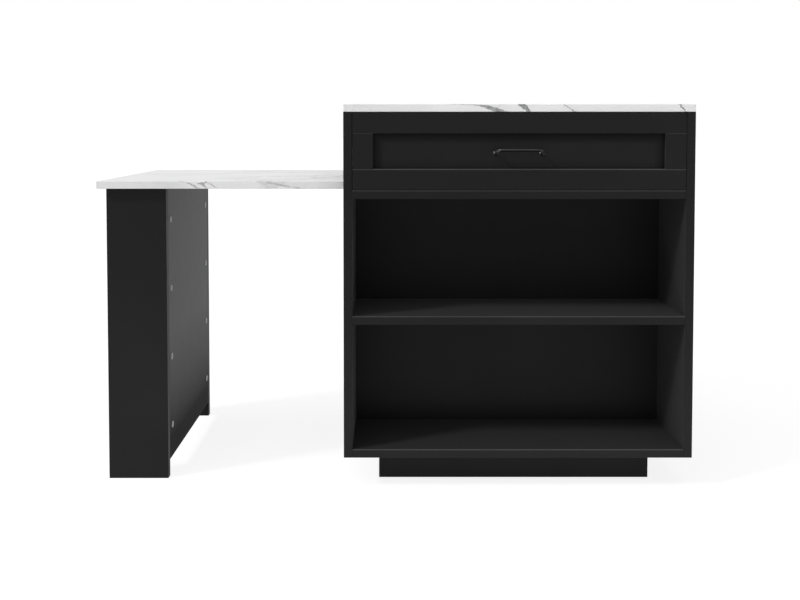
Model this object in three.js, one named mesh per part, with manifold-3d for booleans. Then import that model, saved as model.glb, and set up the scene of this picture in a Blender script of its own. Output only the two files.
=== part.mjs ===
// Kitchen island: one drawer over open shelf bays, with a lower side table on a panel leg.
// Millimetres, +Z up. The drawer side faces -Y and the table reaches out along -X.
// While it is built, x = 0 is the island's middle, y = 0 its front plane and z = 0 the floor.

import * as THREE from "three";
import { mergeVertices } from "three/addons/utils/BufferGeometryUtils.js";
import Module from "manifold-3d";

// Carcass
const islandWidth = 824;
const islandDepth = 700;
const islandHeight = 914;
const boardThickness = 20;
const boardEase = 0.8; // chamfer round both faces of every board
const slabThickness = 18;
const slabEase = 1.5;
const drawerSpaceHeight = 184;
const upperBayHeight = 277;
const frontBayDepth = 237;
const partitionThickness = 15;
const topRailWidth = 80;

// Plinth
const plinthHeight = 78;
const plinthSideInset = 82;
const plinthFrontInset = 86;

// Drawer front: two rails right across, two stiles between them, and a recessed panel
const frontGap = 1.5;
const frontThickness = 20;
const railHeight = 49;
const stileWidth = 48;
const frameBevelWidth = 3;
const frameBevelDepth = 2;
const frameEase = 1;
const panelRecess = 11;
const panelThickness = 6;
const grooveDepth = 8;

// Drawer box
const boxHeight = 120;
const boxLift = 20; // free height under the box
const boxBoardThickness = 12;
const boxBottomThickness = 5;
const boxBottomRise = 10; // from the lower edge of the sides to the bottom
const boxGrooveDepth = 6;

// Telescopic runners: three nested channels of rolled steel
const runnerLength = 400;
const runnerSetback = 2; // behind the drawer front
const runnerHeight = 45;
const runnerSpace = 13; // between the side panel and the drawer box
const runnerWall = 1.25;
const runnerGap = 0.5;
const runnerCorner = 3;

// Drawer pull
const pullCentres = 108;
const pullStraight = 88;
const pullReach = 30; // from the panel to the bar's axis
const pullRise = 9; // of the bar over its feet
const pullDrop = 6; // of the feet under the panel's middle
const pullDiameter = 7;
const pullFootDiameter = 13;
const pullFootHeight = 6;

// Table
const tableLength = 598;
const tableDepth = 600;
const tableHeight = 730;
const tableSetback = 61; // behind the island's front plane

// Panel leg
const legWidth = 145;
const legDepth = 532;
const legSideOverhang = 19;
const legFrontOverhang = 18;
const legFloorGap = 40; // under the middle panel

// Knock-down fittings: a cam in one board pulls a bolt that is screwed into the next
const camDiameter = 15;
const camBelowBolt = 3.5; // reach of the cam past the bolt's axis
const camRimWidth = 0.5;
const camRimHeight = 1.25;
const camSetback = 27; // from the board's edge to the cam's axis
const camEndDistance = 80; // from the leg panel's ends to the outer cams
const camRows = 4;
const camSlotLength = 9;
const camSlotWidth = 1.6;
const camSlotDepth = 2.5;
const boltDiameter = 6;
const boltHeadDiameter = 6;
const boltNeckDiameter = 4;
const boltHeadLength = 2;
const boltNeckLength = 5;
const boltPlugDepth = 12; // of the bolt in the next board
const fitGap = 0.3; // round every fitting in its hole
const tableBoltInset = 100; // from the table's front and back edges

// Angle brackets at the top of the leg
const bracketLeg = 30;
const bracketLength = 40;
const bracketThickness = 2.5;
const bracketHoleDiameter = 5;
const bracketHoleSpacing = 22;
const bracketInset = 110; // from the leg's front and back to the bracket's middle

// Facets of the round shapes
const camFacets = 24;
const boltFacets = 12;
const pullFacets = 14;
const pullSteps = 36;
const cornerFacets = 3;

// Heights and planes that follow from the sizes above
const carcassTop = islandHeight - slabThickness;
const dividerTop = carcassTop - drawerSpaceHeight;
const dividerBottom = dividerTop - boardThickness;
const shelfTop = dividerBottom - upperBayHeight;
const floorTop = plinthHeight + boardThickness;
const outerX = islandWidth / 2;
const innerX = outerX - boardThickness;
const partitionBack = frontBayDepth + partitionThickness;
const apronFront = islandDepth - boardThickness;

const tableRight = -outerX;
const tableLeft = tableRight - tableLength;
const tableBack = tableSetback + tableDepth;
const tableUnderside = tableHeight - slabThickness;

const X = new THREE.Vector3(1, 0, 0);
const Y = new THREE.Vector3(0, 1, 0);
const Z = new THREE.Vector3(0, 0, 1);
const against = (direction) => direction.clone().negate();
const at = (x, y, z) => new THREE.Vector3(x, y, z);

const blackPaint = new THREE.MeshStandardMaterial({ color: 0x272727, roughness: 0.55 });
const drawerPaint = new THREE.MeshStandardMaterial({ color: 0x2b2b2b, roughness: 0.6 });
const marble = new THREE.MeshStandardMaterial({ color: 0xe6e6e6, roughness: 0.35 });
const blackMetal = new THREE.MeshStandardMaterial({ color: 0x1c1c1c, roughness: 0.35, metalness: 0.6 });
const zincAlloy = new THREE.MeshStandardMaterial({ color: 0xb4b4b4, roughness: 0.45, metalness: 0.8 });
const steel = new THREE.MeshStandardMaterial({ color: 0x9a9da0, roughness: 0.35, metalness: 0.9 });

const wasm = await Module();
wasm.setup();

const island = new THREE.Group();

// Adds one named piece to the island, from a geometry or from a cut solid.
function addPiece(name, shape, material) {
  const geometry = shape.isBufferGeometry ? shape : toGeometry(shape);
  const piece = new THREE.Mesh(geometry, material);
  piece.name = name;
  island.add(piece);
}

function toSolid(geometry) {
  const bare = geometry.clone();
  bare.deleteAttribute("normal");
  bare.deleteAttribute("uv");
  const merged = mergeVertices(bare);
  return new wasm.Manifold(
    new wasm.Mesh({
      numProp: 3,
      vertProperties: merged.attributes.position.array,
      triVerts: new Uint32Array(merged.index.array),
    }),
  );
}

function toGeometry(solid) {
  const { vertProperties, triVerts } = solid.getMesh();
  const geometry = new THREE.BufferGeometry();
  geometry.setAttribute("position", new THREE.BufferAttribute(vertProperties, 3));
  geometry.setIndex(new THREE.BufferAttribute(triVerts, 1));
  geometry.computeVertexNormals();
  return geometry;
}

// Cuts each of the cutters, given as geometries, out of a board or block.
function cut(geometry, cutters) {
  return cutters.reduce((rest, cutter) => rest.subtract(toSolid(cutter)), toSolid(geometry));
}

// An outline drawn along the directions `across` and `up`, extruded square to both from `origin`.
function extrude(outline, length, across, up, origin, options = {}) {
  const geometry = new THREE.ExtrudeGeometry(outline, {
    depth: length,
    bevelEnabled: false,
    curveSegments: cornerFacets,
    ...options,
  });
  const along = new THREE.Vector3().crossVectors(across, up);
  const placing = new THREE.Matrix4().makeBasis(across, up, along).setPosition(origin);
  return geometry.applyMatrix4(placing);
}

function polygon(...points) {
  return new THREE.Shape(points.map(([x, y]) => new THREE.Vector2(x, y)));
}

// A board between two corners. Its faces are square to `facing`, and their edges are chamfered.
function board(low, high, facing, ease = boardEase) {
  const across = at(facing.z, facing.x, facing.y);
  const up = at(facing.y, facing.z, facing.x);
  const size = new THREE.Vector3().subVectors(high, low);
  const width = size.dot(across) - ease;
  const height = size.dot(up) - ease;
  const outline = polygon([ease, ease], [width, ease], [width, height], [ease, height]);
  const origin = low.clone().addScaledVector(facing, ease);
  return extrude(outline, size.dot(facing) - 2 * ease, across, up, origin, {
    bevelEnabled: true,
    bevelSize: ease,
    bevelThickness: ease,
    bevelSegments: 1,
  });
}

function block(low, high) {
  const size = new THREE.Vector3().subVectors(high, low);
  const middle = new THREE.Vector3().addVectors(low, high).multiplyScalar(0.5);
  return new THREE.BoxGeometry(size.x, size.y, size.z).translate(middle.x, middle.y, middle.z);
}

// A round rod of the given radius, from `start` along `direction`.
function rod(start, direction, length, radius, facets) {
  return new THREE.CylinderGeometry(radius, radius, length, facets)
    .translate(0, length / 2, 0)
    .applyQuaternion(new THREE.Quaternion().setFromUnitVectors(Y, direction))
    .translate(start.x, start.y, start.z);
}

// A profile of [radius, height] points turned round `direction`, with height 0 at `start`.
function turned(profile, start, direction, facets) {
  const points = profile.map(([radius, height]) => new THREE.Vector2(radius, height));
  return new THREE.LatheGeometry(points, facets)
    .applyQuaternion(new THREE.Quaternion().setFromUnitVectors(Y, direction))
    .translate(start.x, start.y, start.z);
}

// Carcass: the boards stand between the two side panels, and the worktop lies flush on them.
function addCarcass(tableJoints) {
  const boardAcross = (name, front, back, bottom, facing, thickness) =>
    addPiece(
      name,
      board(at(-innerX, front, bottom), at(innerX, back, bottom + thickness), facing),
      blackPaint,
    );
  const sidePanel = (left) =>
    board(at(left, 0, plinthHeight), at(left + boardThickness, islandDepth, carcassTop), X);

  addPiece("side_panel_left", cut(sidePanel(-outerX), tableJoints.map((joint) => joint.plugHole)), blackPaint);
  addPiece("side_panel_right", sidePanel(innerX), blackPaint);
  boardAcross("bottom_panel", 0, islandDepth, plinthHeight, Z, boardThickness);
  boardAcross("middle_shelf", 0, frontBayDepth, shelfTop - boardThickness, Z, boardThickness);
  boardAcross("rear_shelf", partitionBack, islandDepth, shelfTop - boardThickness, Z, boardThickness);
  boardAcross("drawer_divider", 0, islandDepth, dividerBottom, Z, boardThickness);
  boardAcross("bay_back_panel", frontBayDepth, partitionBack, floorTop, Y, dividerBottom - floorTop);
  boardAcross("rear_apron", apronFront, islandDepth, dividerTop, Y, drawerSpaceHeight);

  const railBottom = carcassTop - boardThickness;
  const frontRailFront = frontThickness + runnerSetback;
  boardAcross("top_rail_front", frontRailFront, frontRailFront + topRailWidth, railBottom, Z, boardThickness);
  boardAcross("top_rail_rear", apronFront - topRailWidth, apronFront, railBottom, Z, boardThickness);

  addPiece(
    "worktop",
    board(at(-outerX, 0, carcassTop), at(outerX, islandDepth, islandHeight), Z, slabEase),
    marble,
  );
}

// Plinth: a frame of four boards under the bottom panel, set in on every side.
function addPlinth() {
  const halfWidth = outerX - plinthSideInset;
  const back = islandDepth - plinthFrontInset;
  for (const [name, front] of [
    ["plinth_front", plinthFrontInset],
    ["plinth_rear", back - boardThickness],
  ]) {
    const low = at(-halfWidth, front, 0);
    addPiece(name, board(low, at(halfWidth, front + boardThickness, plinthHeight), Y), blackPaint);
  }
  for (const [name, left] of [
    ["plinth_left", -halfWidth],
    ["plinth_right", halfWidth - boardThickness],
  ]) {
    const low = at(left, plinthFrontInset + boardThickness, 0);
    const high = at(left + boardThickness, back - boardThickness, plinthHeight);
    addPiece(name, board(low, high, X), blackPaint);
  }
}

// Section of a rail or stile: the outer edge is at height 0, the inner edge holds the panel's groove.
function frameSection(width) {
  const panelBack = panelRecess + panelThickness;
  return polygon(
    [frameEase, 0],
    [frontThickness - frameEase, 0],
    [frontThickness, frameEase],
    [frontThickness, width],
    [panelBack, width],
    [panelBack, width - grooveDepth],
    [panelRecess, width - grooveDepth],
    [panelRecess, width],
    [frameBevelDepth, width],
    [0, width - frameBevelWidth],
    [0, frameEase],
  );
}

// Drawer front: the rails are grooved from end to end, and the stiles' tongues fill the groove's ends.
function addDrawerFront() {
  const halfWidth = innerX - frontGap;
  const bottom = dividerTop + frontGap;
  const top = carcassTop - frontGap;
  const stileBottom = bottom + railHeight;
  const stileTop = top - railHeight;
  const panelBack = panelRecess + panelThickness;

  const rail = frameSection(railHeight);
  addPiece(
    "drawer_front_bottom_rail",
    extrude(rail, 2 * halfWidth, Y, Z, at(-halfWidth, 0, bottom)),
    drawerPaint,
  );
  addPiece(
    "drawer_front_top_rail",
    extrude(rail, 2 * halfWidth, Y, against(Z), at(halfWidth, 0, top)),
    drawerPaint,
  );

  const stile = frameSection(stileWidth);
  const stileHeight = stileTop - stileBottom;
  for (const [name, side] of [
    ["drawer_front_left_stile", -1],
    ["drawer_front_right_stile", 1],
  ]) {
    const inwards = X.clone().multiplyScalar(-side);
    const foot = side < 0 ? stileTop : stileBottom;
    const body = extrude(stile, stileHeight, Y, inwards, at(side * halfWidth, 0, foot));
    const tongueInner = halfWidth - stileWidth + grooveDepth;
    const ends = [side * tongueInner, side * halfWidth].sort((a, b) => a - b);
    const tongue = block(
      at(ends[0], panelRecess, stileBottom - grooveDepth),
      at(ends[1], panelBack, stileTop + grooveDepth),
    );
    addPiece(name, toSolid(body).add(toSolid(tongue)), drawerPaint);
  }

  const panelHalfWidth = halfWidth - stileWidth + grooveDepth;
  addPiece(
    "drawer_front_panel",
    block(
      at(-panelHalfWidth, panelRecess, stileBottom - grooveDepth),
      at(panelHalfWidth, panelBack, stileTop + grooveDepth),
    ),
    drawerPaint,
  );
  addDrawerPull((stileBottom + stileTop) / 2 - pullDrop);
}

// Pull: a round bar that bends back at both ends into flared feet on the recessed panel.
function addDrawerPull(height) {
  const place = (x, reach, rise) => at(x, panelRecess - reach, height + rise);
  const footX = pullCentres / 2;
  const bendX = pullStraight / 2;
  const bend = (side) => [
    place(side * footX, 0, 0),
    place(side * footX, pullReach, pullRise),
    place(side * bendX, pullReach, pullRise),
  ];
  const line = new THREE.CurvePath();
  const [leftFoot, leftControl, leftEnd] = bend(-1);
  const [rightFoot, rightControl, rightEnd] = bend(1);
  line.add(new THREE.QuadraticBezierCurve3(leftFoot, leftControl, leftEnd));
  line.add(new THREE.LineCurve3(leftEnd, rightEnd));
  line.add(new THREE.QuadraticBezierCurve3(rightEnd, rightControl, rightFoot));

  const round = new THREE.Shape().absarc(0, 0, pullDiameter / 2, 0, 2 * Math.PI);
  let pull = toSolid(
    new THREE.ExtrudeGeometry(round, {
      steps: pullSteps,
      curveSegments: pullFacets,
      extrudePath: line,
    }),
  );
  const behindPanel = block(
    place(-footX - pullFootDiameter, 0, -pullFootDiameter),
    at(footX + pullFootDiameter, panelRecess + pullDiameter, height + pullFootDiameter),
  );
  const footProfile = [
    [0, 0],
    [pullFootDiameter / 2, 0],
    [pullFootDiameter / 2, 1],
    [pullDiameter / 2 + 0.7, pullFootHeight / 2],
    [pullDiameter / 2, pullFootHeight],
    [0, pullFootHeight],
  ];
  for (const foot of [leftFoot, rightFoot])
    pull = pull.add(toSolid(turned(footProfile, foot, against(Y), pullFacets)));
  addPiece("drawer_pull", pull.subtract(toSolid(behindPanel)), blackMetal);
}

// Drawer box: sides, front and back round a thin bottom that slides in a groove.
function addDrawerBox() {
  const outer = innerX - runnerSpace;
  const inner = outer - boxBoardThickness;
  const front = frontThickness;
  const back = front + runnerSetback + runnerLength;
  const low = dividerTop + boxLift;
  const high = low + boxHeight;
  const bottomLow = low + boxBottomRise;
  const bottom = block(
    at(-inner - boxGrooveDepth, front + boxBoardThickness - boxGrooveDepth, bottomLow),
    at(inner + boxGrooveDepth, back - boxBoardThickness + boxGrooveDepth, bottomLow + boxBottomThickness),
  );
  const grooved = (from, to, facing) => cut(board(from, to, facing), [bottom]);

  addPiece("drawer_side_left", grooved(at(-outer, front, low), at(-inner, back, high), X), drawerPaint);
  addPiece("drawer_side_right", grooved(at(inner, front, low), at(outer, back, high), X), drawerPaint);
  for (const [name, start] of [
    ["drawer_box_front", front],
    ["drawer_box_back", back - boxBoardThickness],
  ]) {
    const end = start + boxBoardThickness;
    addPiece(name, grooved(at(-inner, start, low), at(inner, end, high), Y), drawerPaint);
  }
  addPiece("drawer_bottom", bottom, drawerPaint);
}

// Section of a rolled channel: a web along the height at 0, and two flanges that reach out from it.
function channelSection(reach, height) {
  const half = height / 2;
  const inside = half - runnerWall;
  const corner = Math.max(runnerCorner, runnerWall);
  const section = new THREE.Shape();
  section.moveTo(reach, half);
  section.lineTo(corner, half);
  section.quadraticCurveTo(0, half, 0, half - corner);
  section.lineTo(0, corner - half);
  section.quadraticCurveTo(0, -half, corner, -half);
  section.lineTo(reach, -half);
  section.lineTo(reach, -inside);
  section.lineTo(corner, -inside);
  section.quadraticCurveTo(runnerWall, -inside, runnerWall, corner - half);
  section.lineTo(runnerWall, half - corner);
  section.quadraticCurveTo(runnerWall, inside, corner, inside);
  section.lineTo(reach, inside);
  section.closePath();
  return section;
}

// Runners: each member nests in the last with a running gap. The drawer member faces the other way.
function addRunners() {
  const step = runnerWall + runnerGap;
  const front = frontThickness + runnerSetback;
  const back = front + runnerLength;
  const middleHeight = dividerTop + boxLift + boxHeight / 2;
  const cabinetReach = runnerSpace - 2 * step;
  const cabinetSection = channelSection(cabinetReach, runnerHeight);
  const middleSection = channelSection(cabinetReach, runnerHeight - 2 * step);
  const drawerSection = channelSection(runnerSpace - 2 * step, runnerHeight - 4 * step);

  for (const [name, side] of [
    ["left", -1],
    ["right", 1],
  ]) {
    const member = (part, section, distance, inwards) => {
      const across = X.clone().multiplyScalar(inwards ? -side : side);
      const start = across.x > 0 ? back : front;
      const origin = at(side * (innerX - distance), start, middleHeight);
      addPiece(`runner_${part}_${name}`, extrude(section, runnerLength, across, Z, origin), steel);
    };
    member("cabinet", cabinetSection, 0, true);
    member("middle", middleSection, step, true);
    member("drawer", drawerSection, runnerSpace, false);
  }
}

// One knock-down joint. `centre` is the cam's axis on the board's face, `out` points out of that face
// and `along` points at the next board, whose face is camSetback away. The bolt lies mid-board.
function camJoint(centre, out, along, thickness) {
  const inwards = against(out);
  const boltLength = camSetback + boltPlugDepth;
  const boltStart = centre.clone().addScaledVector(inwards, thickness / 2);
  const holeRadius = boltDiameter / 2 + fitGap;
  const camDepth = thickness / 2 + camBelowBolt;
  const camRadius = camDiameter / 2 - fitGap;
  const rimRadius = camDiameter / 2 + camRimWidth;

  const camProfile = [
    [0, -camRimHeight],
    [rimRadius, -camRimHeight],
    [rimRadius, 0],
    [camRadius, 0],
    [camRadius, camDepth],
    [0, camDepth],
  ];
  const claw = rod(
    boltStart.clone().addScaledVector(along, -boltHeadLength - fitGap),
    along,
    camDiameter,
    boltHeadDiameter / 2 + fitGap,
    boltFacets,
  );
  const crossways = new THREE.Vector3().crossVectors(out, along);
  const slot = (direction) => {
    const half = direction.clone().multiplyScalar(camSlotLength / 2);
    const side = new THREE.Vector3().crossVectors(out, direction).multiplyScalar(camSlotWidth / 2);
    const reach = [half.clone().add(side).addScaledVector(out, 2 * camRimHeight)];
    reach.push(half.clone().add(side).negate().addScaledVector(out, camRimHeight - camSlotDepth));
    const corners = reach.map((offset) => offset.add(centre));
    return block(corners[0].clone().min(corners[1]), corners[0].clone().max(corners[1]));
  };

  const boltProfile = [
    [0, -boltHeadLength],
    [boltHeadDiameter / 2, -boltHeadLength],
    [boltHeadDiameter / 2, 0],
    [boltNeckDiameter / 2, 0],
    [boltNeckDiameter / 2, boltNeckLength],
    [boltDiameter / 2, boltNeckLength + 1],
    [boltDiameter / 2, boltLength - 1],
    [boltNeckDiameter / 2, boltLength],
    [0, boltLength],
  ];
  return {
    cam: cut(turned(camProfile, centre, inwards, camFacets), [claw, slot(along), slot(crossways)]),
    bolt: turned(boltProfile, boltStart, along, boltFacets),
    camHole: rod(centre, inwards, camDepth + fitGap, camDiameter / 2, camFacets),
    edgeHole: rod(boltStart, along, camSetback, holeRadius, boltFacets),
    plugHole: rod(
      boltStart.clone().addScaledVector(along, camSetback),
      along,
      boltPlugDepth + fitGap,
      holeRadius,
      boltFacets,
    ),
  };
}

// The table is joined to the island's side by two cams in its underside.
function tableJoints() {
  return [tableSetback + tableBoltInset, tableBack - tableBoltInset].map((y) =>
    camJoint(at(tableRight - camSetback, y, tableUnderside), against(Z), X, slabThickness),
  );
}

function addTable(joints) {
  const slab = board(
    at(tableLeft, tableSetback, tableUnderside),
    at(tableRight, tableBack, tableHeight),
    Z,
    slabEase,
  );
  const holes = joints.flatMap((joint) => [joint.camHole, joint.edgeHole]);
  addPiece("table_top", cut(slab, holes), marble);
  joints.forEach((joint, i) => {
    addPiece(`table_cam_${i + 1}`, joint.cam, zincAlloy);
    addPiece(`table_bolt_${i + 1}`, joint.bolt, steel);
  });
}

// Leg: two upright panels on the floor, tied by a raised middle panel flush with their inner edges.
function addLeg() {
  const left = tableLeft + legSideOverhang;
  const right = left + legWidth;
  const front = tableSetback + legFrontOverhang;
  const back = front + legDepth;
  const innerFront = front + boardThickness;
  const innerBack = back - boardThickness;

  const rowSpacing = (tableUnderside - legFloorGap - 2 * camEndDistance) / (camRows - 1);
  const frontJoints = [];
  const backJoints = [];
  for (let row = 0; row < camRows; row += 1) {
    const height = legFloorGap + camEndDistance + row * rowSpacing;
    const frontCam = at(right, innerFront + camSetback, height);
    const backCam = at(right, innerBack - camSetback, height);
    frontJoints.push(camJoint(frontCam, X, against(Y), boardThickness));
    backJoints.push(camJoint(backCam, X, Y, boardThickness));
  }

  const upright = (name, start, joints) => {
    const panel = board(at(left, start, 0), at(right, start + boardThickness, tableUnderside), Y);
    addPiece(name, cut(panel, joints.map((joint) => joint.plugHole)), blackPaint);
  };
  upright("leg_front_panel", front, frontJoints);
  upright("leg_back_panel", innerBack, backJoints);

  const joints = [...frontJoints, ...backJoints];
  const middle = board(
    at(right - boardThickness, innerFront, legFloorGap),
    at(right, innerBack, tableUnderside),
    X,
  );
  const holes = joints.flatMap((joint) => [joint.camHole, joint.edgeHole]);
  addPiece("leg_middle_panel", cut(middle, holes), blackPaint);
  joints.forEach((joint, i) => {
    addPiece(`leg_cam_${i + 1}`, joint.cam, zincAlloy);
    addPiece(`leg_bolt_${i + 1}`, joint.bolt, steel);
  });
  addLegBrackets(right - boardThickness, [front + bracketInset, back - bracketInset]);
}

// Angle brackets in the leg's open side hold the table down on the middle panel.
function addLegBrackets(face, places) {
  const section = polygon(
    [0, 0],
    [bracketLeg, 0],
    [bracketLeg, bracketThickness],
    [bracketThickness, bracketThickness],
    [bracketThickness, bracketLeg],
    [0, bracketLeg],
  );
  const throughHole = 4 * bracketThickness;
  const holeReach = (bracketLeg + bracketThickness) / 2;
  places.forEach((middle, i) => {
    const start = at(face, middle - bracketLength / 2, tableUnderside);
    const angle = extrude(section, bracketLength, against(X), against(Z), start.setY(middle + bracketLength / 2));
    const holes = [-1, 1].flatMap((end) => {
      const y = middle + (end * bracketHoleSpacing) / 2;
      const above = at(face - holeReach, y, tableUnderside + bracketThickness);
      const beside = at(face + bracketThickness, y, tableUnderside - holeReach);
      return [
        rod(above, against(Z), throughHole, bracketHoleDiameter / 2, boltFacets),
        rod(beside, against(X), throughHole, bracketHoleDiameter / 2, boltFacets),
      ];
    });
    addPiece(`leg_bracket_${i + 1}`, cut(angle, holes), steel);
  });
}

const joints = tableJoints();
addCarcass(joints);
addPlinth();
addDrawerFront();
addDrawerBox();
addRunners();
addTable(joints);
addLeg();

// The finished model stands on the floor with its origin under the middle of its bounding box.
const pullFront = panelRecess - pullReach - pullDiameter / 2;
island.position.set(-(tableLeft + outerX) / 2, -(pullFront + islandDepth) / 2, 0);

const model = new THREE.Group();
model.add(island);

export default model;
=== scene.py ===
# %% [markdown]
# # A kitchen island with a side table
# The island has one drawer over two open shelf bays, a marble-look worktop and a set-back plinth.
# A lower table joins its left side and rests on a panel leg.
# The solid parts come ready made as a fixed frame, in metres, with Z up and the drawer side at -Y.
# Each cell below dresses one kind of part: its rounded edges, its fittings and its finish.

# %% Load the frame
import math

import bmesh
import bpy
from mathutils import Matrix, Vector


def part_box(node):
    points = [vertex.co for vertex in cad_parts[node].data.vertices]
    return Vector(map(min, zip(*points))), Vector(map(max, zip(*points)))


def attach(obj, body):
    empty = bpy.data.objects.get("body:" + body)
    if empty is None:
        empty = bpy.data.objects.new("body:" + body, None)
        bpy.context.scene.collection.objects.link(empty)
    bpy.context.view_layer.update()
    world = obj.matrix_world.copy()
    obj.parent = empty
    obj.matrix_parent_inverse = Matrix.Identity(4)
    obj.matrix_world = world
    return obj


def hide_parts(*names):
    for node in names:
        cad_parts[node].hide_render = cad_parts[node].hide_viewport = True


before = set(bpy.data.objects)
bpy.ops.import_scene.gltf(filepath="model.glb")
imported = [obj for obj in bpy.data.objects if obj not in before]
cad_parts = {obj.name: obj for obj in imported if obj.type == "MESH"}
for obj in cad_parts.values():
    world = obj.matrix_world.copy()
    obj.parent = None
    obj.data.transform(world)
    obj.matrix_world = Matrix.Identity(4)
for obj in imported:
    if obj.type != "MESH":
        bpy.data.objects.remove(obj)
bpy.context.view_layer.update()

MM = 0.001

# %% [markdown]
# ## The camera
# The picture is taken from straight in front of the whole unit, just below the worktop's height.
# A long lens could stand further back, but the table top would then look flatter than it should.
# So the camera stands 2.2 m in front with a 44 mm lens and tips down two degrees, and a vertical
# shift moves the unit up in the frame.

# %% Camera
CAMERA_PLACE = (0.009, -2.6048, 0.8646)
TIP_DOWN = math.radians(2.287)

bpy.ops.object.camera_add(location=CAMERA_PLACE, rotation=(math.pi / 2 - TIP_DOWN, 0, 0))
camera = bpy.context.object
camera.name = "front_camera"
camera.data.lens = 43.64
camera.data.shift_x, camera.data.shift_y = 0.0058, -0.17
bpy.context.scene.camera = camera
bpy.context.scene.view_settings.view_transform = "Standard"
print("camera at", [round(value, 3) for value in camera.location], "lens", camera.data.lens)

# %% [markdown]
# ## Building materials from nodes
# A finish is a small graph of nodes. Two helpers keep the graphs short to write: one adds a node
# and fills or wires its named inputs, and one does the same for arithmetic.

# %% Node helpers
def add_node(tree, kind, settings=None, **inputs):
    """Add a shader node. An input may be a plain value or another node's output."""
    node = tree.nodes.new("ShaderNode" + kind)
    for name, value in (settings or {}).items():
        setattr(node, name, value)
    for name, value in inputs.items():
        fill_input(tree, node.inputs[name.replace("_", " ")], value)
    return node


def fill_input(tree, socket, value):
    if isinstance(value, bpy.types.NodeSocket):
        tree.links.new(value, socket)
    else:
        socket.default_value = value


def calculate(tree, operation, *values, clamp=False):
    """One step of arithmetic on numbers or node outputs."""
    node = tree.nodes.new("ShaderNodeMath")
    node.operation = operation
    node.use_clamp = clamp
    for socket, value in zip(node.inputs, values):
        fill_input(tree, socket, value)
    return node.outputs[0]


def spread(tree, value, low, high, to_low, to_high):
    """Stretch a number from one range to another, and hold it inside the new range."""
    node = add_node(
        tree, "MapRange", From_Min=low, From_Max=high, To_Min=to_low, To_Max=to_high, Value=value
    )
    return node.outputs["Result"]


def blend_colours(tree, amount, first, second):
    node = tree.nodes.new("ShaderNodeMix")
    node.data_type = "RGBA"
    for socket, value in ((0, amount), (6, first), (7, second)):
        fill_input(tree, node.inputs[socket], value)
    return node.outputs[2]


# %% [markdown]
# ## Studio light
# A key light stands to the left, above and in front: it draws the slanting shadow of the left side
# on the shelves and the bright wedge on the right side. A very broad light hangs overhead. Area
# lamps could do both, but sun lamps light the whole object evenly, and their angle sets how soft
# the shadows are. A weak strip lamp lies near the floor just in front: its light falls off with
# height, so it lifts the plinth, the leg's foot and the lower bay most.

# %% Lamps
def add_sun(name, strength, travel, softness):
    """A lamp whose light travels along a direction. `softness` is its width in degrees."""
    bpy.ops.object.light_add(type="SUN", location=(0, 0, 3))
    lamp = bpy.context.object
    lamp.name = name
    lamp.data.energy = strength
    lamp.data.angle = math.radians(softness)
    lamp.rotation_euler = Vector(travel).to_track_quat("-Z", "Y").to_euler()


add_sun("key_light", strength=1.5, travel=(1.066, 0.555, -1), softness=9)
add_sun("overhead_light", strength=0.85, travel=(0.3, 0.3, -1), softness=60)

strip_place = Vector((0.3, -0.75, 0.04))
strip_travel = Vector((0, 0.75, 0.21))
bpy.ops.object.light_add(type="AREA", location=strip_place)
strip = bpy.context.object
strip.name = "low_strip_light"
strip.data.energy = 3
strip.data.shape = "RECTANGLE"
strip.data.size, strip.data.size_y = 3.4, 0.1
strip.visible_camera = False
strip.rotation_euler = strip_travel.to_track_quat("-Z", "Y").to_euler()

# %% [markdown]
# ## White room
# The room is white to look at, but white walls all round would wash out the unit's shadows. So it
# has two strengths: Light Path tells what the camera sees, also in metal or glass, from the light
# that falls on the unit, which is weaker.

# %% World
ROOM_GLOW = 0.4

world = bpy.data.worlds.new("pale_room")
bpy.context.scene.world = world
world.use_nodes = True
room = world.node_tree
room.nodes.clear()


def seen_directly(tree):
    """One for what the camera sees, also in a reflection, and zero for light that falls."""
    path = add_node(tree, "LightPath").outputs
    seen = calculate(tree, "ADD", path["Is Camera Ray"], path["Is Glossy Ray"], clamp=True)
    return calculate(tree, "ADD", seen, path["Is Transmission Ray"], clamp=True)


soft_glow = add_node(room, "Background", Color=(1, 1, 1, 1), Strength=ROOM_GLOW)
white = add_node(room, "Background", Color=(1, 1, 1, 1), Strength=1)
mix = add_node(room, "MixShader")
fill_input(room, mix.inputs[0], seen_directly(room))
fill_input(room, mix.inputs[1], soft_glow.outputs[0])
fill_input(room, mix.inputs[2], white.outputs[0])
add_node(room, "OutputWorld", Surface=mix.outputs[0])
print("world:", world.name)

# %% [markdown]
# ## Pale floor
# Even a white floor turns grey away from the lamps, so most of what the camera sees of it is a
# white of its own. The rest is lit, and keeps the unit's shadow.

# %% Floor
FLOOR_GLOW = 1.22
GLOW_SHARE = 0.7

bpy.ops.mesh.primitive_plane_add(size=120)
floor = bpy.context.object
floor.name = "pale_floor"

floor_finish = bpy.data.materials.new("pale_floor")
floor_finish.use_nodes = True
tree = floor_finish.node_tree
tree.nodes.clear()
lit = add_node(tree, "BsdfDiffuse", Color=(0.8, 0.8, 0.8, 1))
pale = add_node(tree, "Emission", Color=(1, 1, 1, 1), Strength=FLOOR_GLOW)
mix = add_node(tree, "MixShader")
fill_input(tree, mix.inputs[0], calculate(tree, "MULTIPLY", seen_directly(tree), GLOW_SHARE))
fill_input(tree, mix.inputs[1], lit.outputs[0])
fill_input(tree, mix.inputs[2], pale.outputs[0])
add_node(tree, "OutputMaterial", Surface=mix.outputs[0])
floor.data.materials.append(floor_finish)
print("floor:", floor.name)


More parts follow.
